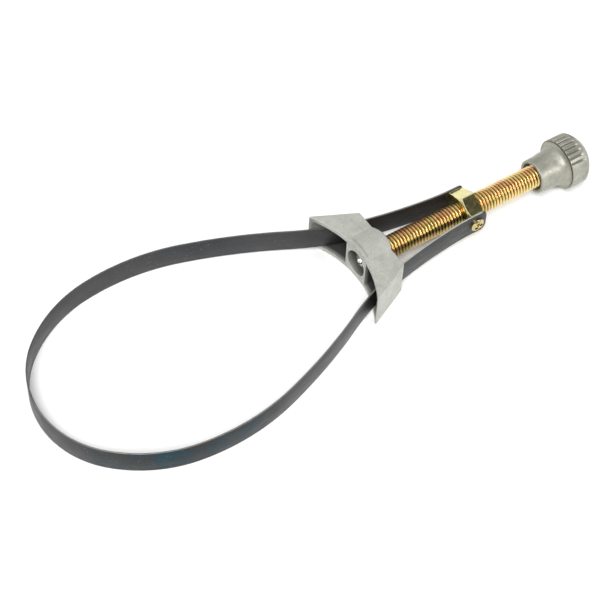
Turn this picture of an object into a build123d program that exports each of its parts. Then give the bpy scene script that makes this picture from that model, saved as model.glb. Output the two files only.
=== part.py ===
"""Oil filter wrench: a steel band loop that a threaded spindle pulls tight through a saddle.

Units are millimetres. The origin is the middle of the saddle's concave face, which the filter
sits against. +X runs along the spindle to the knob, +Z is up, and the loop lies in the XY plane.
"""
from build123d import *
import math
import os

# ---- fits ---------------------------------------------------------------------------------
running_gap = 0.05
face_gap = 0.05
loose_gap = 0.2
cut_overshoot = 2.0

# ---- spring-steel band --------------------------------------------------------------------
band_width = 9.0
band_thickness = 0.5
band_corner_radius = 2.2

# ---- spindle (M8 coarse thread, drawn at its crest diameter) --------------------------------
spindle_diameter = 8.0
spindle_end_chamfer = 0.8
journal_diameter = 6.0

# ---- saddle -------------------------------------------------------------------------------
seat_radius = 36.5
saddle_height = 13.6
saddle_depth = 9.5
saddle_tip_y = 20.5
saddle_back_y = 12.9
saddle_corner_radius = 0.9
saddle_tip_radius = 0.3
saddle_edge_radius = 0.3
window_corner_radius = 1.2
plate_thickness = 1.5
outer_wall_thickness = 1.0
boss_width = 11.0
boss_length = 11.1
boss_crown = 0.8
boss_crown_setback = 1.2
boss_crown_lead = 0.35
boss_back_radius = 9.6
boss_back_chamfer = 0.7
front_bore_diameter = 9.2
front_bore_depth = 4.6
web_thickness = 2.4

# ---- nut and its travel -------------------------------------------------------------------
nut_across_flats = 13.0
nut_thickness = 5.5
nut_front_x = 41.0
nut_chamfer_angle = 30.0
nut_chamfer_diameter = 12.4
nut_edge_radius = 0.2
band_past_nut = 1.2
band_straight_past_nut_front = 0.3

# ---- knob ---------------------------------------------------------------------------------
knob_front_x = 72.5
knob_length = 22.0
knob_neck_radius = 6.0
knob_neck_length = 6.5
knob_neck_root_radius = 6.4
knob_flare_middle_length_share = 0.68
knob_flare_middle_radius_share = 0.32
knob_head_start = 10.6
knob_head_radius = 9.1
knob_rim_step = 0.45
knob_head_straight = 6.8
knob_recess_radius = 4.9
knob_recess_depth = 2.0
knob_socket_depth = 10.0
flute_radius = 0.55
flute_depth = 0.4
flute_length = 6.0
flutes_per_sector = 9
flute_pitch_angle = 12.0

# ---- fasteners and washers ----------------------------------------------------------------
band_screw_diameter = 2.5
band_screw_length = 2.3
band_screw_head_diameter = 5.0
band_screw_head_height = 1.7
retaining_screw_diameter = 4.0
retaining_screw_length = 8.0
retaining_hole_depth = 9.0
retaining_head_diameter = 7.0
retaining_head_height = 2.7
retaining_head_dome_share = 0.35
retaining_washer_diameter = 8.0
retaining_washer_thickness = 0.6
thrust_washer_diameter = 8.0
thrust_washer_thickness = 0.8
band_screw_dome_share = 0.55
cross_slot_width = 0.22
cross_slot_length = 0.62
cross_slot_depth = 0.5
band_screw_recess_angle = 20.0
retaining_screw_recess_angle = 35.0

# ---- worked out from the above --------------------------------------------------------------
saddle_tip_x = math.sqrt(seat_radius**2 - saddle_tip_y**2) - seat_radius
web_front_x = front_bore_depth
web_back_x = web_front_x + web_thickness
thrust_washer_x = web_back_x + face_gap
shoulder_x = thrust_washer_x + thrust_washer_thickness
journal_front_x = web_front_x - face_gap
nut_back_x = nut_front_x + nut_thickness
nut_middle_x = nut_front_x + nut_thickness / 2
band_end_x = nut_back_x + band_past_nut
band_at_nut_y = nut_across_flats / 2 + band_thickness / 2
spindle_end_x = knob_front_x + knob_socket_depth


def cylinder_along_x(diameter, start_x, end_x):
    """A plain cylinder on the spindle's axis."""
    return extrude(Plane.YZ.offset(start_x) * Circle(diameter / 2), end_x - start_x)


def cap_radius(base_radius, height):
    """The radius of the sphere whose cap has this base radius and height."""
    return (base_radius**2 + height**2) / (2 * height)


def domed_head(diameter, height, dome_share):
    """A pan head standing on Z = 0, with its cross recess cut in the top."""
    dome_radius = cap_radius(diameter / 2, height * dome_share)
    blank = Cylinder(
        diameter / 2, height, align=(Align.CENTER, Align.CENTER, Align.MIN)
    )
    head = blank & Pos(0, 0, height - dome_radius) * Sphere(dome_radius)
    slot_depth = height * cross_slot_depth
    for turn in (0, 90):
        slot = Box(
            diameter * cross_slot_length,
            diameter * cross_slot_width,
            slot_depth,
            align=(Align.CENTER, Align.CENTER, Align.MIN),
        )
        head -= Pos(0, 0, height - slot_depth) * Rot(0, 0, turn) * slot
    return head


def saddle_outline():
    """The saddle seen from above: the filter's arc in front, straight sides and back."""
    far_tip = (saddle_tip_x, saddle_tip_y)
    near_tip = (saddle_tip_x, -saddle_tip_y)
    far_back = (saddle_depth, saddle_back_y)
    near_back = (saddle_depth, -saddle_back_y)
    return make_face(
        [
            ThreePointArc(near_tip, (0, 0), far_tip),
            Line(far_tip, far_back),
            Line(far_back, near_back),
            Line(near_back, near_tip),
        ]
    )


def saddle_boss():
    """The middle block that holds the spindle: a crowned pad on top, and a rounded back."""
    half_width = boss_width / 2
    half_height = saddle_height / 2
    block = Box(
        boss_length,
        boss_width,
        saddle_height,
        align=(Align.MIN, Align.CENTER, Align.CENTER),
    )
    left_end = (-half_width, half_height)
    right_end = (half_width, half_height)
    crown_middle = (0, half_height + boss_crown)
    crown_section = make_face(
        [ThreePointArc(left_end, crown_middle, right_end), Line(right_end, left_end)]
    )
    crown = extrude(Plane.YZ * crown_section, boss_length)
    lead_in_radius = seat_radius + boss_crown_setback
    crown -= Pos(-seat_radius, 0, half_height) * Cone(
        lead_in_radius,
        lead_in_radius + boss_crown_lead,
        boss_crown,
        align=(Align.CENTER, Align.CENTER, Align.MIN),
    )
    back_rounding = Pos(boss_length - boss_back_radius, 0, half_height + boss_crown) * Cylinder(
        boss_back_radius,
        saddle_height + boss_crown,
        align=(Align.CENTER, Align.CENTER, Align.MAX),
    )
    top_edge = back_rounding.edges().filter_by(GeomType.CIRCLE).sort_by(Axis.Z)[-1]
    back_rounding = chamfer(top_edge, boss_back_chamfer)
    return (block + crown) & back_rounding


def band_window(side):
    """The opening through one wing, between the boss and the wing's outer wall."""
    run = saddle_depth - saddle_tip_x
    rise = saddle_tip_y - saddle_back_y
    wall_length = math.hypot(run, rise)
    wall_offset = outer_wall_thickness * wall_length / run
    slope = rise / run
    front_x = saddle_tip_x - cut_overshoot
    back_x = saddle_depth + cut_overshoot
    inner_y = boss_width / 2
    outer_front_y = saddle_back_y + slope * (saddle_depth - front_x) - wall_offset
    outer_back_y = saddle_back_y + slope * (saddle_depth - back_x) - wall_offset
    corners = [
        (front_x, side * inner_y),
        (back_x, side * inner_y),
        (back_x, side * outer_back_y),
        (front_x, side * outer_front_y),
    ]
    opening = make_face(Polyline(*corners, close=True))
    height = saddle_height - 2 * plate_thickness
    window = extrude(opening, height / 2, both=True)
    outer_corners = window.edges().filter_by(Plane.XY).sort_by(Axis.Y)
    if side > 0:
        outer_corners = outer_corners[::-1]
    return fillet(outer_corners[:2], window_corner_radius)


def make_saddle_block():
    body = extrude(saddle_outline(), saddle_height / 2, both=True)
    upright_edges = body.edges().filter_by(Axis.Z).sort_by(Axis.X)
    body = fillet(upright_edges[-2:], saddle_corner_radius)
    upright_edges = body.edges().filter_by(Axis.Z).sort_by(Axis.X)
    body = fillet(upright_edges[:2], saddle_tip_radius)
    rims = body.faces().filter_by(Axis.Z).edges()
    body = fillet(rims, saddle_edge_radius)
    body += saddle_boss()
    for side in (1, -1):
        body -= band_window(side)
    body -= cylinder_along_x(front_bore_diameter, -cut_overshoot, web_front_x)
    body -= cylinder_along_x(journal_diameter + 2 * running_gap, web_front_x, web_back_x)
    body -= cylinder_along_x(
        spindle_diameter + 2 * loose_gap, web_back_x, boss_length + cut_overshoot
    )
    return body


def make_threaded_spindle():
    journal = cylinder_along_x(journal_diameter, journal_front_x, shoulder_x)
    rod = cylinder_along_x(spindle_diameter, shoulder_x, spindle_end_x)
    rod = chamfer(rod.edges().filter_by(GeomType.CIRCLE), spindle_end_chamfer)
    tapped_hole = cylinder_along_x(
        retaining_screw_diameter, journal_front_x, journal_front_x + retaining_hole_depth
    )
    return journal + rod - tapped_hole


def knob_profile():
    """Half of the knob's section, as (distance from the knob's front, radius)."""
    neck_end = (knob_neck_length, knob_neck_root_radius)
    flare_end_radius = knob_head_radius - knob_rim_step
    flare_end = (knob_head_start, flare_end_radius)
    flare_length = knob_head_start - knob_neck_length
    flare_rise = flare_end_radius - knob_neck_root_radius
    flare_middle = (
        knob_neck_length + knob_flare_middle_length_share * flare_length,
        knob_neck_root_radius + knob_flare_middle_radius_share * flare_rise,
    )
    rim = (knob_head_start + knob_rim_step, knob_head_radius)
    dome_start = (knob_head_start + knob_head_straight, knob_head_radius)
    dome_height = knob_length - dome_start[0]
    dome_radius = cap_radius(knob_head_radius, dome_height)
    dome_centre_x = knob_length - dome_radius
    dome_angle = math.acos((dome_start[0] - dome_centre_x) / dome_radius) / 2
    dome_middle = (
        dome_centre_x + dome_radius * math.cos(dome_angle),
        dome_radius * math.sin(dome_angle),
    )
    return make_face(
        [
            Line((0, knob_recess_radius), (0, knob_neck_radius)),
            Line((0, knob_neck_radius), neck_end),
            ThreePointArc(neck_end, flare_middle, flare_end),
            Line(flare_end, rim),
            Line(rim, dome_start),
            ThreePointArc(dome_start, dome_middle, (knob_length, 0)),
            Line((knob_length, 0), (knob_socket_depth, 0)),
            Line((knob_socket_depth, 0), (knob_socket_depth, spindle_diameter / 2)),
            Line(
                (knob_socket_depth, spindle_diameter / 2),
                (knob_recess_depth, spindle_diameter / 2),
            ),
            Line(
                (knob_recess_depth, spindle_diameter / 2),
                (knob_recess_depth, knob_recess_radius),
            ),
            Line((knob_recess_depth, knob_recess_radius), (0, knob_recess_radius)),
        ]
    )


def make_knob():
    knob = revolve(knob_profile(), Axis.X)
    flute = Pos(knob_head_start + flute_length / 2, 0, 0) * Rot(0, 90, 0) * Cylinder(
        flute_radius, flute_length
    )
    flute_centre = knob_head_radius + flute_radius - flute_depth
    middle_flute = (flutes_per_sector - 1) / 2
    for sector_angle in (0, 180):
        for index in range(flutes_per_sector):
            angle = sector_angle + (index - middle_flute) * flute_pitch_angle
            knob -= Rot(angle, 0, 0) * Pos(0, 0, flute_centre) * flute
    return Pos(knob_front_x, 0, 0) * knob


def make_hex_nut():
    """A hexagon nut with flats facing +Y and -Y, chamfered on the face towards the saddle."""
    hexagon = RegularPolygon(nut_across_flats / 2, 6, major_radius=False, rotation=30)
    blank = extrude(Plane.YZ.offset(nut_front_x) * hexagon, nut_thickness)
    blank = fillet(blank.edges().filter_by(Axis.X), nut_edge_radius)
    face_radius = nut_chamfer_diameter / 2
    outer_radius = nut_across_flats / math.sqrt(3) + cut_overshoot
    cone_length = (outer_radius - face_radius) * math.tan(math.radians(nut_chamfer_angle))
    cone_profile = make_face(
        Polyline(
            (0, 0),
            (0, face_radius),
            (cone_length, outer_radius),
            (nut_thickness, outer_radius),
            (nut_thickness, 0),
            close=True,
        )
    )
    nut = blank & (Pos(nut_front_x, 0, 0) * revolve(cone_profile, Axis.X))
    nut -= cylinder_along_x(
        spindle_diameter + 2 * running_gap,
        nut_front_x - cut_overshoot,
        nut_back_x + cut_overshoot,
    )
    screw_hole = Pos(nut_middle_x, 0, 0) * Rot(90, 0, 0) * Cylinder(
        band_screw_diameter / 2, 2 * nut_across_flats
    )
    return nut - screw_hole


def half_band_edges(shift):
    """One face of the far half of the strip, shifted outwards from its centre line.

    Tangent arcs, then a straight end on the nut's flat. The loop is round at its far end,
    flattens towards the saddle, and the arm behind the saddle turns parallel to the spindle
    where it reaches the nut.
    """
    centre_points = [
        (-116.3, 0),
        (-106.3, 23.5),
        (-80.6, 36.05),
        (-47.0, 33.4),
        (-14.0, 19.9),
        (11.0, 10.85),
        (36.0, 7.02),
        (nut_front_x + band_straight_past_nut_front, band_at_nut_y),
    ]
    direction = Vector(0, 1)
    edges = []
    for start, end in zip(centre_points, centre_points[1:]):
        centre_arc = TangentArc(start, end, tangent=direction)
        next_direction = centre_arc % 1
        shifted_start = Vector(*start) + Vector(-direction.Y, direction.X) * shift
        shifted_end = Vector(*end) + Vector(-next_direction.Y, next_direction.X) * shift
        edges.append(TangentArc(shifted_start, shifted_end, tangent=direction))
        direction = next_direction
    edges.append(Line(edges[-1] @ 1, (band_end_x, band_at_nut_y + shift)))
    return edges


def make_steel_band():
    outer_edges = half_band_edges(band_thickness / 2)
    inner_edges = half_band_edges(-band_thickness / 2)
    half_outline = Curve(
        outer_edges + inner_edges + [Line(outer_edges[-1] @ 1, inner_edges[-1] @ 1)]
    )
    outline = half_outline.edges() + mirror(half_outline, about=Plane.XZ).edges()
    strip = extrude(make_face(outline), band_width / 2, both=True)
    end_corners = (
        strip.edges()
        .filter_by(Axis.Y)
        .filter_by_position(Axis.X, nut_back_x, band_end_x)
    )
    strip = fillet(end_corners, band_corner_radius)
    screw_holes = Pos(nut_middle_x, 0, 0) * Rot(90, 0, 0) * Cylinder(
        band_screw_diameter / 2, 2 * nut_across_flats
    )
    return strip - screw_holes


def make_band_screw(side):
    """A pan-head screw through the band into one flat of the nut; side is +1 far, -1 near."""
    shank_diameter = band_screw_diameter - 2 * running_gap
    shank = Cylinder(
        shank_diameter / 2,
        band_screw_length,
        align=(Align.CENTER, Align.CENTER, Align.MAX),
    )
    head = domed_head(
        band_screw_head_diameter, band_screw_head_height, band_screw_dome_share
    )
    head_seat_y = side * (nut_across_flats / 2 + band_thickness)
    screw = Rot(-90 * side, 0, 0) * Rot(0, 0, band_screw_recess_angle) * (head + shank)
    return Pos(nut_middle_x, head_seat_y, 0) * screw


def make_retaining_screw():
    """The screw in the end of the spindle, reached through the saddle's front bore."""
    shank_diameter = retaining_screw_diameter - 2 * running_gap
    shank = Cylinder(
        shank_diameter / 2,
        retaining_screw_length,
        align=(Align.CENTER, Align.CENTER, Align.MAX),
    )
    head = domed_head(
        retaining_head_diameter, retaining_head_height, retaining_head_dome_share
    )
    seat_x = journal_front_x - retaining_washer_thickness
    screw = Rot(0, -90, 0) * Rot(0, 0, retaining_screw_recess_angle) * (head + shank)
    return Pos(seat_x, 0, 0) * screw


def make_washer(outer_diameter, hole_diameter, start_x, thickness):
    disc = cylinder_along_x(outer_diameter, start_x, start_x + thickness)
    hole_end_x = start_x + thickness + cut_overshoot
    return disc - cylinder_along_x(hole_diameter, start_x - cut_overshoot, hole_end_x)


def main():
    os.makedirs("parts", exist_ok=True)
    nodes = {
        "saddle_block": make_saddle_block(),
        "threaded_spindle": make_threaded_spindle(),
        "knob": make_knob(),
        "hex_nut": make_hex_nut(),
        "steel_band": make_steel_band(),
        "band_screw_near": make_band_screw(-1),
        "band_screw_far": make_band_screw(1),
        "retaining_screw": make_retaining_screw(),
        "retaining_washer": make_washer(
            retaining_washer_diameter,
            retaining_screw_diameter + 2 * running_gap,
            journal_front_x - retaining_washer_thickness,
            retaining_washer_thickness,
        ),
        "thrust_washer": make_washer(
            thrust_washer_diameter,
            journal_diameter + 2 * running_gap,
            thrust_washer_x,
            thrust_washer_thickness,
        ),
    }
    for name, solid in nodes.items():
        export_step(solid, f"parts/{name}.step")


main()
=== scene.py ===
"""Oil filter wrench on a pale floor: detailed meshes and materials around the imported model."""
import math

import bmesh
import bpy
from mathutils import Matrix, Vector


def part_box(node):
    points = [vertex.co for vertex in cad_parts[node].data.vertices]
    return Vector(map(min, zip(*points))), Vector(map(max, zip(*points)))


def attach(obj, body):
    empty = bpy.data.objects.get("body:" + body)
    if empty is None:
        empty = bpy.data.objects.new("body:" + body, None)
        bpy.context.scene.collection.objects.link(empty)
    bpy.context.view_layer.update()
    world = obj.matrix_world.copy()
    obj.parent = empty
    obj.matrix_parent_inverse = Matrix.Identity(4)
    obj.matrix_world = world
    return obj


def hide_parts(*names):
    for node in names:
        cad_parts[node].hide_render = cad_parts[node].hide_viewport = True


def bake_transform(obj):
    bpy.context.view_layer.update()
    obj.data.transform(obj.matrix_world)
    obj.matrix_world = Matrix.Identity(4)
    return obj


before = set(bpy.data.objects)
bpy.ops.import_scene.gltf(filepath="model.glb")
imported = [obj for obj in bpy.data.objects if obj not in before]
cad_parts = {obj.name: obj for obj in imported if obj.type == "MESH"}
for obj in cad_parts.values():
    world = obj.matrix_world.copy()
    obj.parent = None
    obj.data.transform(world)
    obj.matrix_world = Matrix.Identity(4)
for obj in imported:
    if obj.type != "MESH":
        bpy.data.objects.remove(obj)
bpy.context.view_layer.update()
MM = 0.001

# ---- sizes, in millimetres ---------------------------------------------------------------------
# The outlines are the CAD model's. The thread, the knob's groove, the shape of its flutes and the
# strip's rounded edges are finer than the CAD model has them.
THREAD_PITCH = 1.25
THREAD_CREST_RADIUS = 3.95
THREAD_ROOT_RADIUS = 3.22
THREAD_STEPS_PER_TURN = 64
JOURNAL_RADIUS = 3.0
JOURNAL_LENGTH = 3.35
JOURNAL_CHAMFER = 0.3
JOURNAL_OVERLAP = 0.2
JOURNAL_STEPS = 48
TAPPED_RADIUS = 2.0

BAND_THICKNESS = 0.5
BAND_HALF_WIDTH = 4.5
BAND_CORNER_RADIUS = 2.2
BAND_EDGE_ROUND = 0.1
BAND_STEP = 1.2
BAND_END_STEPS = 16
# The far half of the strip's centre line, as the ends of arcs that run smoothly into each other:
# from the loop's far end through the saddle's window to the nut, where the strip is straight.
BAND_LOOP_HALF = [
    (-116.3, 0),
    (-106.3, 23.5),
    (-80.6, 36.05),
    (-47.0, 33.4),
    (-14.0, 19.9),
    (11.0, 10.85),
    (36.0, 7.02),
    (41.3, 6.75),
]
# The loop's mesh ends here, inside the windows, and the meshes of the two arms begin.
BAND_SPLIT_X = 3.0

SEAT_RADIUS = 36.5
FRONT_BORE_RADIUS = 4.6
BOSS_HALF_WIDTH = 5.5
WINDOW_HALF_HEIGHT = 5.3
# A window's outer wall lies at WINDOW_WALL_Y less WINDOW_WALL_SLOPE times x from the tool's axis.
WINDOW_WALL_SLOPE = 0.481
WINDOW_WALL_Y = 16.36

NUT_FLAT_RADIUS = 6.5
NUT_CORNER_RADIUS = 7.5
NUT_CHAMFER_RADIUS = 6.2
NUT_CHAMFER_SLOPE = math.tan(math.radians(30))

SCREW_RECESS_RADIUS = 1.35
SCREW_RECESS_DEPTH = 0.7

KNOB_NECK_RADIUS = 6.0
KNOB_RECESS_RADIUS = 4.9
KNOB_RECESS_DEPTH = 2.0
KNOB_SOCKET_DEPTH = 10.0
KNOB_SOCKET_RADIUS = 4.02
KNOB_FLARE_START = 6.5
KNOB_FLARE_START_RADIUS = 6.4
KNOB_HEAD_START = 10.6
KNOB_HEAD_STRAIGHT = 6.8
KNOB_RIM_STEP = 0.45
KNOB_RIM_LENGTH = 0.6
KNOB_GROOVE_DEPTH = 0.35
KNOB_GROOVE_WIDTH = 0.3
KNOB_EDGE_ROUND = 0.2
KNOB_NECK_ROUND = 0.3
KNOB_STEPS = 720
CORNER_STEPS = 4
FLUTES_PER_SECTOR = 9
FLUTE_PITCH = math.radians(12)
FLUTE_HALF_WIDTH = math.radians(3.0)
FLUTE_DEPTH = 0.42
FLUTE_LENGTH = 6.2
FLUTE_RUN_OUT = 0.9

# The two ends of the knob's profile come this close to its axis, which leaves no hole to see.
AXIS_RADIUS = 0.001


# ---- mesh helpers ------------------------------------------------------------------------------
def mesh_object(name, vertices, faces, smooth_angle=35):
    """A new smooth object from vertices in millimetres, with seams merged and faces outwards."""
    mesh = bpy.data.meshes.new(name)
    mesh.from_pydata([tuple(c * MM for c in v) for v in vertices], [], faces)
    bm = bmesh.new()
    bm.from_mesh(mesh)
    bmesh.ops.remove_doubles(bm, verts=bm.verts, dist=1e-7)
    bmesh.ops.recalc_face_normals(bm, faces=bm.faces)
    bm.to_mesh(mesh)
    bm.free()
    piece = bpy.data.objects.new(name, mesh)
    bpy.context.scene.collection.objects.link(piece)
    for polygon in mesh.polygons:
        polygon.use_smooth = True
    mesh.set_sharp_from_angle(angle=math.radians(smooth_angle))
    return piece


def lathe(profile, steps, radius_change=None):
    """Vertices and faces of a closed profile of (x, radius) points turned about the X axis."""
    vertices = []
    faces = []
    rows = len(profile)
    for x, radius in profile:
        for step in range(steps):
            angle = 2 * math.pi * step / steps
            r = radius
            if radius_change:
                r += radius_change(x, radius, angle)
            vertices.append((x, r * math.cos(angle), r * math.sin(angle)))
    for row in range(rows):
        next_row = (row + 1) % rows
        for step in range(steps):
            next_step = (step + 1) % steps
            faces.append(
                (
                    row * steps + step,
                    row * steps + next_step,
                    next_row * steps + next_step,
                    next_row * steps + step,
                )
            )
    return vertices, faces


def joined(*shapes):
    """Several (vertices, faces) shapes as one."""
    vertices = []
    faces = []
    for shape_vertices, shape_faces in shapes:
        first = len(vertices)
        vertices += shape_vertices
        faces += [tuple(i + first for i in face) for face in shape_faces]
    return vertices, faces


def rounded_corner(before, corner, after, radius):
    """Points of an arc that rounds a profile's corner."""
    to_before = (Vector(before) - Vector(corner)).normalized()
    to_after = (Vector(after) - Vector(corner)).normalized()
    half_angle = to_before.angle(to_after) / 2
    reach = radius / math.tan(half_angle)
    start = Vector(corner) + to_before * reach
    end = Vector(corner) + to_after * reach
    centre = Vector(corner) + (to_before + to_after).normalized() * radius / math.sin(half_angle)
    points = []
    for step in range(CORNER_STEPS + 1):
        towards = (start - centre).lerp(end - centre, step / CORNER_STEPS).normalized()
        points.append(tuple(centre + towards * radius))
    return points


# ---- threaded spindle --------------------------------------------------------------------------
def thread_shape(start_x, end_x):
    """A right-hand thread between two flat ends, as (vertices, faces).

    One pitch of its rounded profile, as (share of the pitch, radius), is wound into a helix that
    is longer than needed, and both ends are then cut off flat and filled.
    """
    crest = THREAD_CREST_RADIUS
    root = THREAD_ROOT_RADIUS
    depth = crest - root
    section = [
        (0.0, crest),
        (0.05, crest - 0.02 * depth),
        (0.1, crest - 0.08 * depth),
        (0.15, crest - 0.2 * depth),
        (0.30, root + 0.35 * depth),
        (0.40, root + 0.08 * depth),
        (0.47, root),
        (0.53, root),
        (0.60, root + 0.08 * depth),
        (0.70, root + 0.35 * depth),
        (0.85, crest - 0.2 * depth),
        (0.9, crest - 0.08 * depth),
        (0.95, crest - 0.02 * depth),
    ]
    turns = math.ceil((end_x - start_x) / THREAD_PITCH) + 3
    steps = turns * THREAD_STEPS_PER_TURN
    first_x = start_x - 1.5 * THREAD_PITCH
    bm = bmesh.new()
    rows = []
    for step in range(steps + 1):
        angle = 2 * math.pi * step / THREAD_STEPS_PER_TURN
        row = []
        for share, radius in section:
            x = first_x + (step / THREAD_STEPS_PER_TURN + share) * THREAD_PITCH
            row.append(bm.verts.new((x, radius * math.cos(angle), radius * math.sin(angle))))
        rows.append(row)
    for step in range(steps):
        row, next_row = rows[step], rows[step + 1]
        for i in range(len(section) - 1):
            bm.faces.new((row[i], row[i + 1], next_row[i + 1], next_row[i]))
        next_turn = step + THREAD_STEPS_PER_TURN
        if next_turn < steps:
            bm.faces.new((row[-1], rows[next_turn][0], rows[next_turn + 1][0], next_row[-1]))
    for x, side in ((start_x, -1), (end_x, 1)):
        everything = bm.verts[:] + bm.edges[:] + bm.faces[:]
        cut = bmesh.ops.bisect_plane(
            bm, geom=everything, plane_co=(x, 0, 0), plane_no=(side, 0, 0), clear_outer=True
        )
        rim = [e for e in cut["geom_cut"] if isinstance(e, bmesh.types.BMEdge)]
        bmesh.ops.holes_fill(bm, edges=rim)
    bm.verts.index_update()
    vertices = [tuple(v.co) for v in bm.verts]
    faces = [tuple(v.index for v in f.verts) for f in bm.faces]
    bm.free()
    return vertices, faces


def make_spindle():
    """The tapped journal that the saddle's web holds, and the threaded rod behind it."""
    low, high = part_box("threaded_spindle")
    start_x = low.x / MM
    shoulder_x = start_x + JOURNAL_LENGTH
    journal = lathe(
        [
            (start_x, TAPPED_RADIUS),
            (start_x, JOURNAL_RADIUS - JOURNAL_CHAMFER),
            (start_x + JOURNAL_CHAMFER, JOURNAL_RADIUS),
            (shoulder_x + JOURNAL_OVERLAP, JOURNAL_RADIUS),
            (shoulder_x + JOURNAL_OVERLAP, TAPPED_RADIUS),
        ],
        JOURNAL_STEPS,
    )
    thread = thread_shape(shoulder_x, high.x / MM)
    spindle = mesh_object("spindle_thread", *joined(journal, thread), smooth_angle=50)
    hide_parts("threaded_spindle")
    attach(spindle, "spindle")
    return spindle


# ---- knob --------------------------------------------------------------------------------------
def flute_change(front_x, step_radius):
    """How much the fluted sectors lower the knob's surface at a place on its head."""

    def change(x, radius, angle):
        along = x - front_x - KNOB_HEAD_START
        if radius <= step_radius or along < 0 or along > FLUTE_LENGTH:
            return 0.0
        from_top = angle % math.pi - math.pi / 2
        nearest = round(from_top / FLUTE_PITCH)
        if abs(nearest) > (FLUTES_PER_SECTOR - 1) / 2:
            return 0.0
        offset = abs(from_top - nearest * FLUTE_PITCH) / FLUTE_HALF_WIDTH
        if offset >= 1:
            return 0.0
        run_out = min(1.0, (FLUTE_LENGTH - along) / FLUTE_RUN_OUT)
        depth = FLUTE_DEPTH * run_out * (1 - offset**2) ** 0.7
        return max(-depth, step_radius - radius)

    return change


def knob_profile(front_x, head_radius, length):
    """The knob's half section as (x, radius) points, from its socket round to its domed end."""
    step_radius = head_radius - KNOB_RIM_STEP
    dome_start = KNOB_HEAD_START + KNOB_HEAD_STRAIGHT
    dome_height = length - dome_start
    dome_radius = (head_radius**2 + dome_height**2) / (2 * dome_height)
    dome_centre = length - dome_radius
    dome_angle = math.acos((dome_start - dome_centre) / dome_radius)
    points = [(KNOB_SOCKET_DEPTH, AXIS_RADIUS), (KNOB_SOCKET_DEPTH, KNOB_SOCKET_RADIUS)]
    points += [(KNOB_RECESS_DEPTH, KNOB_SOCKET_RADIUS), (KNOB_RECESS_DEPTH, KNOB_RECESS_RADIUS)]
    recess_mouth = (0, KNOB_RECESS_RADIUS)
    neck_rim = (0, KNOB_NECK_RADIUS)
    points += rounded_corner(points[-1], recess_mouth, neck_rim, KNOB_EDGE_ROUND)
    points += rounded_corner(recess_mouth, neck_rim, (2, KNOB_NECK_RADIUS), KNOB_NECK_ROUND)
    neck_rows = 8
    for row in range(1, neck_rows):
        share = row / neck_rows
        points.append(
            (
                KNOB_FLARE_START * share,
                KNOB_NECK_RADIUS + (KNOB_FLARE_START_RADIUS - KNOB_NECK_RADIUS) * share**2,
            )
        )
    flare_rows = 14
    for row in range(flare_rows + 1):
        turn = math.pi / 2 * row / flare_rows
        points.append(
            (
                KNOB_FLARE_START + (KNOB_HEAD_START - KNOB_FLARE_START) * math.sin(turn),
                step_radius - (step_radius - KNOB_FLARE_START_RADIUS) * math.cos(turn),
            )
        )
    groove_floor = step_radius - KNOB_GROOVE_DEPTH
    points.append((KNOB_HEAD_START + 0.03, groove_floor))
    groove_end = (KNOB_HEAD_START + KNOB_GROOVE_WIDTH, groove_floor)
    rim = (KNOB_HEAD_START + KNOB_GROOVE_WIDTH, head_radius)
    points.append(groove_end)
    points += rounded_corner(groove_end, rim, (KNOB_HEAD_START + 2, head_radius), KNOB_EDGE_ROUND)
    head_rows = 26
    for row in range(1, head_rows):
        share = row / head_rows
        straight = KNOB_RIM_LENGTH + (KNOB_HEAD_STRAIGHT - KNOB_RIM_LENGTH) * share
        points.append((KNOB_HEAD_START + straight, head_radius))
    dome_rows = 18
    for row in range(dome_rows):
        angle = dome_angle * (1 - row / dome_rows)
        points.append(
            (dome_centre + dome_radius * math.cos(angle), dome_radius * math.sin(angle))
        )
    points.append((length, AXIS_RADIUS))
    return [(front_x + x, radius) for x, radius in points]


def make_knob():
    """The turned casting, with a sector of flutes on top and another underneath."""
    low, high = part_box("knob")
    front_x = low.x / MM
    profile = knob_profile(front_x, high.z / MM, (high.x - low.x) / MM)
    flutes = flute_change(front_x, high.z / MM - KNOB_RIM_STEP)
    knob = mesh_object("knob_casting", *lathe(profile, KNOB_STEPS, flutes))
    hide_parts("knob")
    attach(knob, "spindle")
    return knob


# ---- steel band --------------------------------------------------------------------------------
def arc_points(start, end, heading):
    """(point, heading) pairs along the arc from start to end, and the heading at its end."""
    chord = Vector(end) - Vector(start)
    chord_angle = math.atan2(chord.y, chord.x)
    turn = 2 * (chord_angle - heading)
    radius = chord.length / 2 / math.sin(turn / 2)
    count = max(2, round(abs(radius * turn) / BAND_STEP))
    points = []
    for step in range(count):
        angle = heading + turn * step / count
        travelled = Vector((math.sin(angle) - math.sin(heading), math.cos(heading) - math.cos(angle)))
        points.append((Vector(start) + travelled * radius, angle))
    return points, heading + turn


def band_path(end_x):
    """The far half of the strip's centre line as (point, heading) pairs."""
    path = []
    heading = math.pi / 2
    for start, end in zip(BAND_LOOP_HALF, BAND_LOOP_HALF[1:]):
        points, heading = arc_points(start, end, heading)
        path += points
    last = Vector(BAND_LOOP_HALF[-1])
    straight = end_x - last.x
    for step in range(BAND_END_STEPS + 1):
        path.append((last + Vector((straight * step / BAND_END_STEPS, 0)), 0.0))
    return path


def strip_section(half_width):
    """The strip's rounded cross-section as (across, up) points, anticlockwise."""
    half = BAND_THICKNESS / 2
    bevel = BAND_EDGE_ROUND
    # Halfway round, a quarter circle lies 0.3 of its radius inside each side of its corner.
    middle = bevel * 0.3
    top = half_width
    return [
        (half, -top + bevel),
        (half, top - bevel),
        (half - middle, top - middle),
        (half - bevel, top),
        (-half + bevel, top),
        (-half + middle, top - middle),
        (-half, top - bevel),
        (-half, -top + bevel),
        (-half + middle, -top + middle),
        (-half + bevel, -top),
        (half - bevel, -top),
        (half - middle, -top + middle),
    ]


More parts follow.
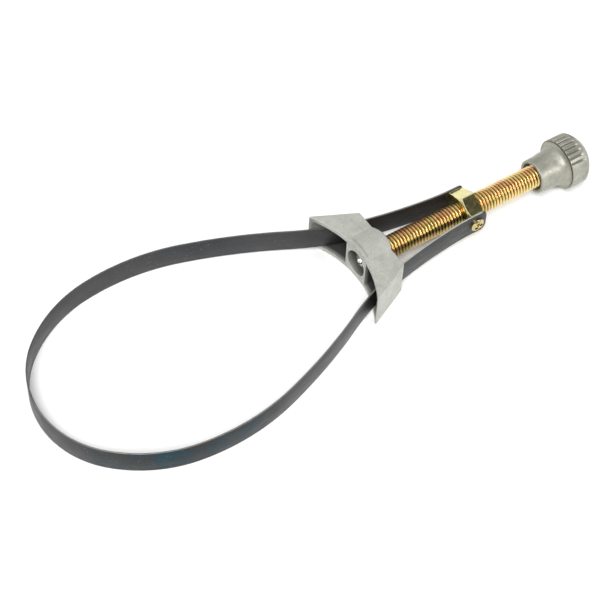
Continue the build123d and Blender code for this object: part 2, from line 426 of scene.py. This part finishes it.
def strip_shape(path, half_width, end_x):
    """A closed strip along the path; its width rounds off at end_x."""
    vertices = []
    faces = []
    for point, heading in path:
        from_end = end_x - point.x
        width = half_width
        if from_end < BAND_CORNER_RADIUS:
            missing = BAND_CORNER_RADIUS - max(from_end, 0)
            width -= BAND_CORNER_RADIUS - math.sqrt(max(BAND_CORNER_RADIUS**2 - missing**2, 0))
        across = Vector((-math.sin(heading), math.cos(heading)))
        for out, up in strip_section(width):
            place = point + across * out
            vertices.append((place.x, place.y, up))
    ring = len(strip_section(half_width))
    for row in range(len(path) - 1):
        for i in range(ring):
            j = (i + 1) % ring
            faces.append((row * ring + i, row * ring + j, (row + 1) * ring + j, (row + 1) * ring + i))
    last_row = (len(path) - 1) * ring
    faces.append(tuple(range(ring)))
    faces.append(tuple(last_row + i for i in reversed(range(ring))))
    return vertices, faces


def make_band():
    """The loop between the saddle's windows, and the two arms that run back to the nut."""
    low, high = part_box("steel_band")
    end_x = high.x / MM
    half_width = high.z / MM
    path = band_path(end_x)
    split = next(i for i, (point, _) in enumerate(path) if point.x > BAND_SPLIT_X)
    far_loop = path[: split + 1]
    mirrored = [
        (Vector((point.x, -point.y)), math.pi - heading) for point, heading in far_loop[:0:-1]
    ]
    loop = mesh_object(
        "band_loop", *strip_shape(mirrored + far_loop, half_width, end_x), smooth_angle=60
    )
    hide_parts("steel_band")
    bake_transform(loop)
    arm_vertices, arm_faces = strip_shape(path[split:], half_width, end_x)
    arms = []
    for name, side in (("band_arm_far", 1), ("band_arm_near", -1)):
        vertices = [(x, y * side, z) for x, y, z in arm_vertices]
        arm = mesh_object(name, vertices, arm_faces, smooth_angle=60)
        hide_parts("steel_band")
        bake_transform(arm)
        arms.append(arm)
    return [loop] + arms


# ---- materials ---------------------------------------------------------------------------------
def feed(tree, value, socket):
    """Links a node's output to the socket, or sets the socket to a number or a colour."""
    if isinstance(value, bpy.types.NodeSocket):
        tree.links.new(value, socket)
    elif isinstance(value, tuple):
        socket.default_value = (*value, 1)
    else:
        socket.default_value = value


class Nodes:
    """A small helper that builds one procedural material."""

    def __init__(self, name, roughness, metallic):
        self.material = bpy.data.materials.new(name)
        self.material.use_nodes = True
        self.tree = self.material.node_tree
        self.shader = self.tree.nodes["Principled BSDF"]
        self.shader.inputs["Roughness"].default_value = roughness
        self.shader.inputs["Metallic"].default_value = metallic
        self.place = self.add("ShaderNodeTexCoord").outputs["Object"]

    def add(self, kind, **settings):
        node = self.tree.nodes.new(kind)
        for key, value in settings.items():
            setattr(node, key, value)
        return node

    def link(self, output, target):
        self.tree.links.new(output, target)

    def scaled_place(self, scale):
        """The place, stretched or squeezed along X, Y and Z."""
        mapping = self.add("ShaderNodeMapping")
        mapping.inputs["Scale"].default_value = scale
        self.link(self.place, mapping.inputs["Vector"])
        return mapping.outputs["Vector"]

    def noise(self, scale, detail=4.0, roughness=0.55, place=None):
        node = self.add("ShaderNodeTexNoise")
        node.inputs["Scale"].default_value = scale
        node.inputs["Detail"].default_value = detail
        node.inputs["Roughness"].default_value = roughness
        self.link(place or self.place, node.inputs["Vector"])
        return node.outputs["Fac"]

    def ramp(self, value, stops):
        """A colour that runs through (position, colour) stops as the value grows."""
        node = self.add("ShaderNodeValToRGB")
        elements = node.color_ramp.elements
        while len(elements) < len(stops):
            elements.new(0.5)
        for element, (position, colour) in zip(elements, stops):
            element.position = position
            element.color = (*colour, 1)
        self.link(value, node.inputs["Fac"])
        return node.outputs["Color"]

    def span(self, value, low, high, to_low, to_high):
        """A number that runs from to_low to to_high as the value runs from low to high."""
        node = self.add("ShaderNodeMapRange")
        node.inputs["From Min"].default_value = low
        node.inputs["From Max"].default_value = high
        node.inputs["To Min"].default_value = to_low
        node.inputs["To Max"].default_value = to_high
        self.link(value, node.inputs["Value"])
        return node.outputs["Result"]

    def mix(self, share, first, second, blend="MIX"):
        node = self.add("ShaderNodeMix", data_type="RGBA", blend_type=blend)
        for index, value in ((0, share), (6, first), (7, second)):
            feed(self.tree, value, node.inputs[index])
        return node.outputs[2]

    def bump(self, height, strength, distance, normal=None):
        node = self.add("ShaderNodeBump")
        node.inputs["Strength"].default_value = strength
        node.inputs["Distance"].default_value = distance
        self.link(height, node.inputs["Height"])
        if normal:
            self.link(normal, node.inputs["Normal"])
        return node.outputs["Normal"]

    def maths(self, operation, *values):
        node = self.add("ShaderNodeMath", operation=operation)
        for value, socket in zip(values, node.inputs):
            feed(self.tree, value, socket)
        return node.outputs["Value"]

    def axes(self):
        """The place's X, Y and Z."""
        parts = self.add("ShaderNodeSeparateXYZ")
        self.link(self.place, parts.inputs["Vector"])
        return parts.outputs["X"], parts.outputs["Y"], parts.outputs["Z"]

    def distance(self, first, second):
        """The root of the two values' summed squares."""
        squares = [self.maths("POWER", value, 2.0) for value in (first, second)]
        return self.maths("SQRT", self.maths("ADD", *squares))

    def finish(self, colour, roughness=None, normal=None):
        """Joins the worked-out colour, roughness and normal to the shader."""
        self.link(colour, self.shader.inputs["Base Color"])
        if roughness:
            self.link(roughness, self.shader.inputs["Roughness"])
        if normal:
            self.link(normal, self.shader.inputs["Normal"])
        return self.material


def casting_material(name, tones, roughness, pits):
    """Grey die casting: mottled skin, fine grain, shallow pits, pale chips and flow marks.

    It returns its Nodes with the colour, roughness and normal that they are to be finished with.
    """
    m = Nodes(name, roughness, 0.45)
    mottle = m.noise(230, 6, 0.68)
    colour = m.ramp(mottle, list(zip((0.3, 0.5, 0.72), tones)))
    grain = m.ramp(m.noise(1700, 3, 0.7), [(0.32, (0.78, 0.78, 0.77)), (0.56, (1, 1, 1))])
    colour = m.mix(0.6, colour, grain, "MULTIPLY")
    pit = m.span(m.noise(900, 1, 0.5), 0.22, 0.26, 0.6, 0)
    colour = m.mix(pit, colour, tuple(c * 0.6 for c in tones[0]))
    rough = m.span(m.noise(700, 4, 0.6), 0.3, 0.7, roughness - 0.08, roughness + 0.1)
    fine = m.bump(m.noise(2400, 3, 0.6), 0.3, 0.00006)
    chip = m.span(m.noise(1250, 2, 0.55), 0.66, 0.72, 0, 0.5)
    colour = m.mix(chip, colour, tuple(c * 1.45 for c in tones[2]))
    pitted = m.bump(m.span(pit, 0, 1, 1, 0), pits, 0.0001, fine)
    normal = m.bump(m.noise(400, 4, 0.6), 0.4, 0.00012, pitted)
    return m, colour, rough, normal


def saddle_material():
    """The saddle's casting, with painted shade that darkens the insides of the windows and of the
    boss's front hole.
    """
    tones = ((0.38, 0.384, 0.35), (0.44, 0.445, 0.405), (0.5, 0.505, 0.465))
    m, colour, rough, normal = casting_material("saddle_cast", tones, 0.5, 0.5)
    x, y, z = m.axes()
    across = m.maths("ABSOLUTE", y)
    height = m.maths("ABSOLUTE", z)
    # Painted shade: the insides of the windows, between the plates, beside the boss and behind the
    # seat face, are coloured near black. The colour gets darker deeper in, but not close to the outer
    # walls.
    from_filter_axis = m.distance(m.maths("ADD", x, SEAT_RADIUS * MM), across)
    depth = m.span(from_filter_axis, (SEAT_RADIUS + 0.1) * MM, (SEAT_RADIUS + 1.6) * MM, 0, 1)
    between_plates = m.span(
        height, (WINDOW_HALF_HEIGHT + 0.02) * MM, (WINDOW_HALF_HEIGHT + 0.12) * MM, 1, 0
    )
    past_boss = m.span(
        across, (BOSS_HALF_WIDTH - 0.15) * MM, (BOSS_HALF_WIDTH - 0.02) * MM, 0, 1
    )
    wall_place = m.maths("ADD", across, m.maths("MULTIPLY", x, WINDOW_WALL_SLOPE))
    inside_wall = m.span(wall_place, (WINDOW_WALL_Y - 1.2) * MM, (WINDOW_WALL_Y - 0.1) * MM, 1, 0)
    window_shade = m.maths("MULTIPLY", m.maths("MULTIPLY", between_plates, past_boss), inside_wall)
    window_shade = m.maths("MULTIPLY", window_shade, depth)
    # Painted shade: the wall of the front bore is coloured dark grey, and gets darker deeper in.
    radius = m.distance(across, height)
    in_bore = m.span(
        radius, (FRONT_BORE_RADIUS + 0.02) * MM, (FRONT_BORE_RADIUS + 0.08) * MM, 1, 0
    )
    bore_shade = m.maths("MULTIPLY", in_bore, m.span(x, 0.0, 1.5 * MM, 0.45, 1))
    colour = m.mix(window_shade, colour, (0.07, 0.072, 0.07))
    colour = m.mix(bore_shade, colour, (0.13, 0.13, 0.115))
    return m.finish(colour, rough, normal)


def knob_material():
    """The knob's casting, with painted shade darkening its flutes and the groove under its rim."""
    tones = ((0.26, 0.258, 0.215), (0.33, 0.328, 0.277), (0.4, 0.395, 0.34))
    m, colour, rough, normal = casting_material("knob_cast", tones, 0.46, 0.2)
    m.shader.inputs["Metallic"].default_value = 0.65
    low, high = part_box("knob")
    head_start = low.x + KNOB_HEAD_START * MM
    head_end = head_start + (FLUTE_LENGTH + 0.3) * MM
    step_radius = high.z - KNOB_RIM_STEP * MM
    x, y, z = m.axes()
    radius = m.distance(y, z)
    # Painted shade: on the head, everything lower than the rim step plus a quarter millimetre is
    # darkened towards near black. That covers the flute floors and the groove.
    low_place_shade = m.span(radius, step_radius + 0.05 * MM, step_radius + 0.25 * MM, 0.75, 0)
    on_head = m.maths(
        "MULTIPLY",
        m.span(x, head_start, head_start + 0.05 * MM, 0, 1),
        m.span(x, head_end - 0.3 * MM, head_end, 1, 0),
    )
    colour = m.mix(m.maths("MULTIPLY", low_place_shade, on_head), colour, (0.1, 0.1, 0.075))
    return m.finish(colour, rough, normal)


def thread_material():
    """Yellow passivated thread: bright gold crests, roots darkened as painted shade, and copper and
    green blooming. The blooming is partly random patches and partly a painted sheen that turns the +Y,
    +Z side copper.
    """
    m = Nodes("thread_zinc", 0.3, 1.0)
    _, y, z = m.axes()
    radius = m.distance(y, z)
    patches = m.noise(240, 3, 0.6, m.scaled_place((0.8, 1.3, 1.3)))
    # Painted sheen: the rod's +Y, +Z side leans copper and the other side green-gold, standing in for
    # the film's colour shift with the angle of reflection. The random patches above are the plating's
    # own.
    side = m.maths("ADD", m.maths("MULTIPLY", y, 18.0), m.maths("MULTIPLY", z, 14.0))
    bloom_and_painted_sheen = m.maths("ADD", patches, side)
    colour = m.ramp(
        bloom_and_painted_sheen,
        [
            (0.34, (0.72, 0.63, 0.26)),
            (0.46, (0.92, 0.72, 0.33)),
            (0.56, (0.92, 0.64, 0.3)),
            (0.68, (0.84, 0.46, 0.24)),
        ],
    )
    # Painted shade: the thread's roots are coloured near black, fading out towards the crests.
    crest = m.span(radius, (THREAD_ROOT_RADIUS + 0.03) * MM, (THREAD_CREST_RADIUS - 0.23) * MM, 0, 1)
    colour = m.mix(crest, (0.11, 0.06, 0.024), colour)
    rough = m.span(m.noise(1100, 4, 0.6), 0.3, 0.7, 0.26, 0.35)
    normal = m.bump(m.noise(1900, 3, 0.6), 0.05, 0.00003)
    return m.finish(colour, rough, normal)


def zinc_metal(name, stops, roughness, mottle):
    """Yellow passivated zinc on flats and heads, blotched and lightly pitted.

    It returns its Nodes with the colour, roughness and normal that they are to be finished with.
    """
    m = Nodes(name, roughness, 1.0)
    colour = m.ramp(m.noise(330, 4, 0.65), stops)
    dust = m.ramp(m.noise(1500, 3, 0.7), [(0.35, (0.6, 0.6, 0.5)), (0.6, (1, 1, 1))])
    colour = m.mix(0.5, colour, dust, "MULTIPLY")
    rough = m.span(m.noise(900, 4, 0.6), 0.3, 0.7, roughness - 0.06, roughness + 0.1)
    fine = m.bump(m.noise(2300, 3, 0.6), 0.15, 0.00003)
    normal = m.bump(m.noise(700, 4, 0.65), mottle, 0.00006, fine)
    return m, colour, rough, normal


def nut_material():
    """The nut's zinc, pale along its six corners and the front chamfer's edges: partly worn zinc,
    partly a painted highlight on the edges.
    """
    stops = [(0.3, (0.62, 0.57, 0.25)), (0.5, (0.78, 0.71, 0.34)), (0.7, (0.66, 0.64, 0.28))]
    m, colour, rough, normal = zinc_metal("nut_zinc", stops, 0.15, 0.25)
    front_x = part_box("hex_nut")[0].x
    x, y, z = m.axes()
    radius = m.distance(y, z)
    # Pale cream along the six corners and the front chamfer's edges is partly worn zinc and partly a
    # painted edge highlight. The metallic also drops there.
    corner = m.span(radius, (NUT_CORNER_RADIUS - 0.3) * MM, (NUT_CORNER_RADIUS - 0.15) * MM, 0, 1)
    flat_distance = m.maths("ABSOLUTE", y)
    for angle in (math.radians(60), math.radians(-60)):
        along_y = m.maths("MULTIPLY", y, math.cos(angle))
        along_z = m.maths("MULTIPLY", z, math.sin(angle))
        across = m.maths("ADD", along_y, along_z)
        flat_distance = m.maths("MAXIMUM", flat_distance, m.maths("ABSOLUTE", across))
    on_flat = m.span(flat_distance, (NUT_FLAT_RADIUS - 0.12) * MM, (NUT_FLAT_RADIUS - 0.04) * MM, 0, 1)
    cone_x = m.maths(
        "MULTIPLY", m.maths("SUBTRACT", radius, NUT_CHAMFER_RADIUS * MM), NUT_CHAMFER_SLOPE
    )
    behind_cone = m.maths("SUBTRACT", m.maths("SUBTRACT", x, front_x), cone_x)
    beside_cone = m.span(behind_cone, 0.15 * MM, 0.3 * MM, 1, 0)
    worn_and_highlight = m.maths("MAXIMUM", corner, m.maths("MULTIPLY", on_flat, beside_cone))
    colour = m.mix(worn_and_highlight, colour, (0.8, 0.74, 0.5))
    m.link(m.span(worn_and_highlight, 0, 1, 1.0, 0.45), m.shader.inputs["Metallic"])
    return m.finish(colour, rough, normal)


def band_screw_material():
    """The band screws' zinc, with painted shade darkening the cross recesses."""
    stops = [(0.3, (0.4, 0.32, 0.14)), (0.5, (0.62, 0.52, 0.26)), (0.7, (0.5, 0.42, 0.2))]
    m, colour, rough, normal = zinc_metal("screw_zinc", stops, 0.2, 0.12)
    low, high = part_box("band_screw_far")
    middle_x = (low.x + high.x) / 2
    x, y, z = m.axes()
    # Painted shade: the cross recess, close to the screw's axis and sunk below the head's top, is
    # coloured near black.
    radius = m.distance(m.maths("SUBTRACT", x, middle_x), z)
    near_axis = m.span(radius, SCREW_RECESS_RADIUS * MM, (SCREW_RECESS_RADIUS + 0.15) * MM, 1, 0)
    floor_y = high.y - SCREW_RECESS_DEPTH * MM
    sunk_shade = m.span(m.maths("ABSOLUTE", y), floor_y, floor_y + 0.3 * MM, 0.92, 0)
    colour = m.mix(m.maths("MULTIPLY", near_axis, sunk_shade), colour, (0.05, 0.035, 0.015))
    return m.finish(colour, rough, normal)


def band_material():
    """Dark satin spring steel, rolled lengthwise, with specks, a painted highlight along its edges and
    a blued stretch.
    """
    m = Nodes("blued_band", 0.4, 0.8)
    x, y, z = m.axes()
    drift = m.noise(26, 3, 0.6)
    colour = m.ramp(
        drift,
        [
            (0.38, (0.052, 0.051, 0.051)),
            (0.52, (0.059, 0.059, 0.061)),
            (0.66, (0.042, 0.047, 0.05)),
        ],
    )
    rolled = m.noise(260, 4, 0.6, m.scaled_place((0.15, 0.15, 2.2)))
    lines = m.ramp(rolled, [(0.35, (0.9, 0.9, 0.9)), (0.65, (1.05, 1.05, 1.05))])
    colour = m.mix(1.0, colour, lines, "MULTIPLY")
    near_side = m.span(y, -34 * MM, -16 * MM, 1, 0)
    far_from_saddle = m.span(x, -80 * MM, -45 * MM, 1, 0)
    bluing = m.maths("MULTIPLY", near_side, far_from_saddle)
    tints = [
        (0.4, (0.014, 0.042, 0.06)),
        (0.52, (0.024, 0.037, 0.043)),
        (0.68, (0.048, 0.034, 0.031)),
    ]
    colour = m.mix(bluing, colour, m.ramp(m.noise(75, 3, 0.6), tints))
    scuffed = m.span(m.noise(45, 2, 0.5), 0.45, 0.6, 0.25, 1)
    speck = m.maths("MULTIPLY", m.span(m.noise(1500, 2, 0.6), 0.64, 0.72, 0, 0.45), scuffed)
    colour = m.mix(speck, colour, (0.3, 0.3, 0.28))
    # Painted highlight: a pale line along the strip's two edges, strongest on the near, -Y side and on
    # the arms, fainter on the loop.
    height = m.maths("ABSOLUTE", z)
    edge_highlight = m.span(height, (BAND_HALF_WIDTH - 0.1) * MM, (BAND_HALF_WIDTH - 0.02) * MM, 0, 0.8)
    edge_highlight = m.maths("MULTIPLY", edge_highlight, m.span(y, 0, 5 * MM, 1, 0.3))
    edge_highlight = m.maths("MULTIPLY", edge_highlight, m.span(x, -5 * MM, 15 * MM, 0.35, 1))
    colour = m.mix(edge_highlight, colour, (0.68, 0.66, 0.58))
    rough = m.span(m.noise(160, 5, 0.7, m.scaled_place((1, 1, 4))), 0.3, 0.7, 0.34, 0.52)
    fine = m.bump(m.noise(1400, 3, 0.6), 0.18, 0.00003)
    normal = m.bump(rolled, 0.12, 0.00004, fine)
    return m.finish(colour, rough, normal)


def bright_steel_material():
    """Bright plating on the retaining screw and the two washers."""
    m = Nodes("bright_steel_plating", 0.24, 1.0)
    colour = m.ramp(m.noise(600, 4, 0.6), [(0.3, (0.6, 0.6, 0.57)), (0.7, (0.78, 0.78, 0.74))])
    rough = m.span(m.noise(900, 4, 0.6), 0.3, 0.7, 0.16, 0.32)
    normal = m.bump(m.noise(2500, 3, 0.6), 0.1, 0.00002)
    return m.finish(colour, rough, normal)


def paint(material, *pieces):
    """Gives each piece this one material."""
    for piece in pieces:
        piece.data.materials.clear()
        piece.data.materials.append(material)


# ---- stage -------------------------------------------------------------------------------------
FLOOR_HALF = 30.0


def make_floor():
    """A pale floor that the knob's rim and the far end of the band's loop rest on."""
    knob_low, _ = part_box("knob")
    band_low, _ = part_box("steel_band")
    knob_x = knob_low.x + (KNOB_HEAD_START + KNOB_HEAD_STRAIGHT) * MM
    slope = (knob_low.z - band_low.z) / (knob_x - band_low.x)
    vertices = []
    for x_side, y_side in ((-1, -1), (1, -1), (1, 1), (-1, 1)):
        x, y = FLOOR_HALF * x_side, FLOOR_HALF * y_side
        vertices.append((x, y, knob_low.z + (x - knob_x) * slope))
    mesh = bpy.data.meshes.new("floor")
    mesh.from_pydata(vertices, [], [(0, 1, 2, 3)])
    floor = bpy.data.objects.new("floor", mesh)
    bpy.context.scene.collection.objects.link(floor)
    m = Nodes("floor_paper", 0.9, 0.0)
    colour = m.ramp(m.noise(6, 3), [(0.3, (0.92, 0.92, 0.92)), (0.7, (0.94, 0.94, 0.94))])
    paint(m.finish(colour), floor)


def make_world():
    """A dim ceiling over a bright horizon, which reaches higher and is brighter towards +Y."""
    world = bpy.data.worlds.new("studio")
    world.use_nodes = True
    tree = world.node_tree
    place = tree.nodes.new("ShaderNodeTexCoord")
    parts = tree.nodes.new("ShaderNodeSeparateXYZ")
    tree.links.new(place.outputs["Generated"], parts.inputs["Vector"])

    def level(axis, ends):
        """A value that runs between two ends along one axis of the direction looked in."""
        ramp = tree.nodes.new("ShaderNodeMapRange")
        for name, value in zip(("From Min", "From Max", "To Min", "To Max"), ends):
            ramp.inputs[name].default_value = value
        tree.links.new(parts.outputs[axis], ramp.inputs["Value"])
        return ramp.outputs["Result"]

    def combine(operation, *values):
        node = tree.nodes.new("ShaderNodeMath")
        node.operation = operation
        for value, socket in zip(values, node.inputs):
            feed(tree, value, socket)
        return node.outputs["Value"]

    wide_band = level("Z", (0.1, 0.5, 1.0, 0.0))
    behind = level("Y", (-0.3, 0.6, 0.25, 1.0))
    low_band = level("Z", (0.02, 0.1, 1.0, 0.0))
    strength = combine("MAXIMUM", combine("MULTIPLY_ADD", wide_band, behind, 0.08), low_band)
    background = tree.nodes["Background"]
    tree.links.new(strength, background.inputs["Strength"])
    background.inputs["Color"].default_value = (1, 1, 1, 1)
    bpy.context.scene.world = world


def sun_light(name, towards, strength, spread):
    """A very distant soft lamp in the direction given; it lights the whole floor evenly."""
    data = bpy.data.lights.new(name, "SUN")
    data.energy = strength
    data.angle = spread
    light = bpy.data.objects.new(name, data)
    light.rotation_euler = (-Vector(towards)).to_track_quat("-Z", "Y").to_euler()
    bpy.context.scene.collection.objects.link(light)


def make_lights():
    """A key lamp from behind the camera, a small one from its right, and a broad overhead fill."""
    sun_light("key", (-0.38, -0.42, 0.82), 2.8, 0.5)
    sun_light("side", (0.36, -0.78, 0.5), 1.3, 0.35)
    sun_light("overhead", (-0.1, 0.35, 1.0), 1.3, 1.2)


# The camera's place in metres, the directions it looks in and has on its right, and its lens and
# sensor in millimetres, all fitted so that the tool lies in the picture as it does in the photo.
CAMERA_PLACE = (-0.22853, -0.28941, 0.44804)
CAMERA_FORWARD = (0.35979, 0.49976, -0.78791)
CAMERA_RIGHT = (0.83632, -0.54714, 0.03485)
CAMERA_LENS = 105.0
CAMERA_SENSOR = 36.0


def make_camera():
    data = bpy.data.cameras.new("camera")
    data.lens = CAMERA_LENS
    data.sensor_width = CAMERA_SENSOR
    data.clip_start = 0.01
    camera = bpy.data.objects.new("camera", data)
    right = Vector(CAMERA_RIGHT).normalized()
    backward = -Vector(CAMERA_FORWARD).normalized()
    up = backward.cross(right)
    turn = Matrix((right, up, backward)).transposed()
    camera.matrix_world = Matrix.Translation(CAMERA_PLACE) @ turn.to_4x4()
    bpy.context.scene.collection.objects.link(camera)
    bpy.context.scene.camera = camera


def main():
    make_camera()
    make_world()
    make_lights()
    make_floor()
    bpy.context.scene.view_settings.view_transform = "Standard"
    bright = bright_steel_material()
    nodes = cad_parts
    paint(saddle_material(), nodes["saddle_block"])
    paint(nut_material(), nodes["hex_nut"])
    paint(band_screw_material(), nodes["band_screw_near"], nodes["band_screw_far"])
    paint(bright, nodes["retaining_screw"], nodes["retaining_washer"], nodes["thrust_washer"])
    paint(thread_material(), make_spindle())
    paint(knob_material(), make_knob())
    paint(band_material(), *make_band())


main()
